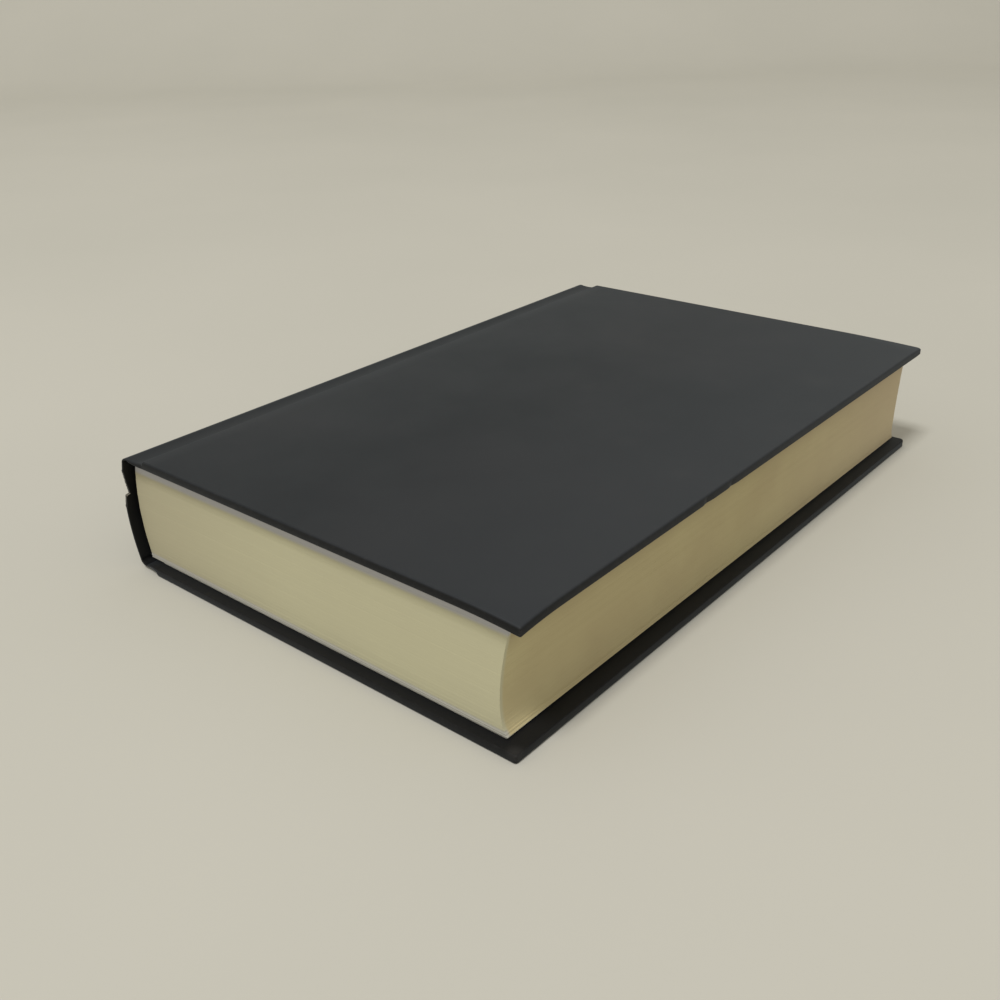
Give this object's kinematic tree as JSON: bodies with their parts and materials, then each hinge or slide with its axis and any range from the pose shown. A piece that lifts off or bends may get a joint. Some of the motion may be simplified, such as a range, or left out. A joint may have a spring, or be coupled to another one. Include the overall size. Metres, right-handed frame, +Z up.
{
  "type": "hardback book",
  "caption": "Closed hardback book with plain charcoal boards, French grooves, a rounded hollow spine, cream pages and two opening covers.",
  "frame": {"origin": "middle of the underside, on the surface the book lies on", "axes": "+X from the spine to the fore-edge, +Y from the tail to the head, +Z up through the front cover"},
  "size_m": [0.1644, 0.2432, 0.0408],
  "materials": {
    "book_paper": "cream bulky book paper, cut edges",
    "endpaper": "smooth white endpaper",
    "mull_gauze": "open starched cotton gauze",
    "kraft_paper": "brown lining paper",
    "inlay_card": "grey flexible card",
    "greyboard": "dense grey board",
    "covering_paper": "matt charcoal covering paper with a fine grain, light handling marks"
  },
  "bodies": {
    "book_block": {"text_block": "book_paper", "front_flyleaf": "endpaper", "back_flyleaf": "endpaper", "spine_mull": "mull_gauze", "spine_lining": "kraft_paper", "spine_inlay": "inlay_card", "spine_covering": "covering_paper"},
    "front_cover": {"front_board": "greyboard", "front_covering": "covering_paper", "front_mull_flange": "mull_gauze", "front_pastedown": "endpaper"},
    "back_cover": {"back_board": "greyboard", "back_covering": "covering_paper", "back_mull_flange": "mull_gauze", "back_pastedown": "endpaper"}
  },
  "joints": [
    {"name": "front_cover_joint", "type": "hinge", "parent": "book_block", "child": "front_cover", "pos_m": [-0.07555, 0, 0.0378], "axis": [0, -1, 0], "range_deg": [0, 179]},
    {"name": "back_cover_joint", "type": "hinge", "parent": "book_block", "child": "back_cover", "pos_m": [-0.07555, 0, 0.003], "axis": [0, 1, 0], "range_deg": [0, 179]}
  ]
}
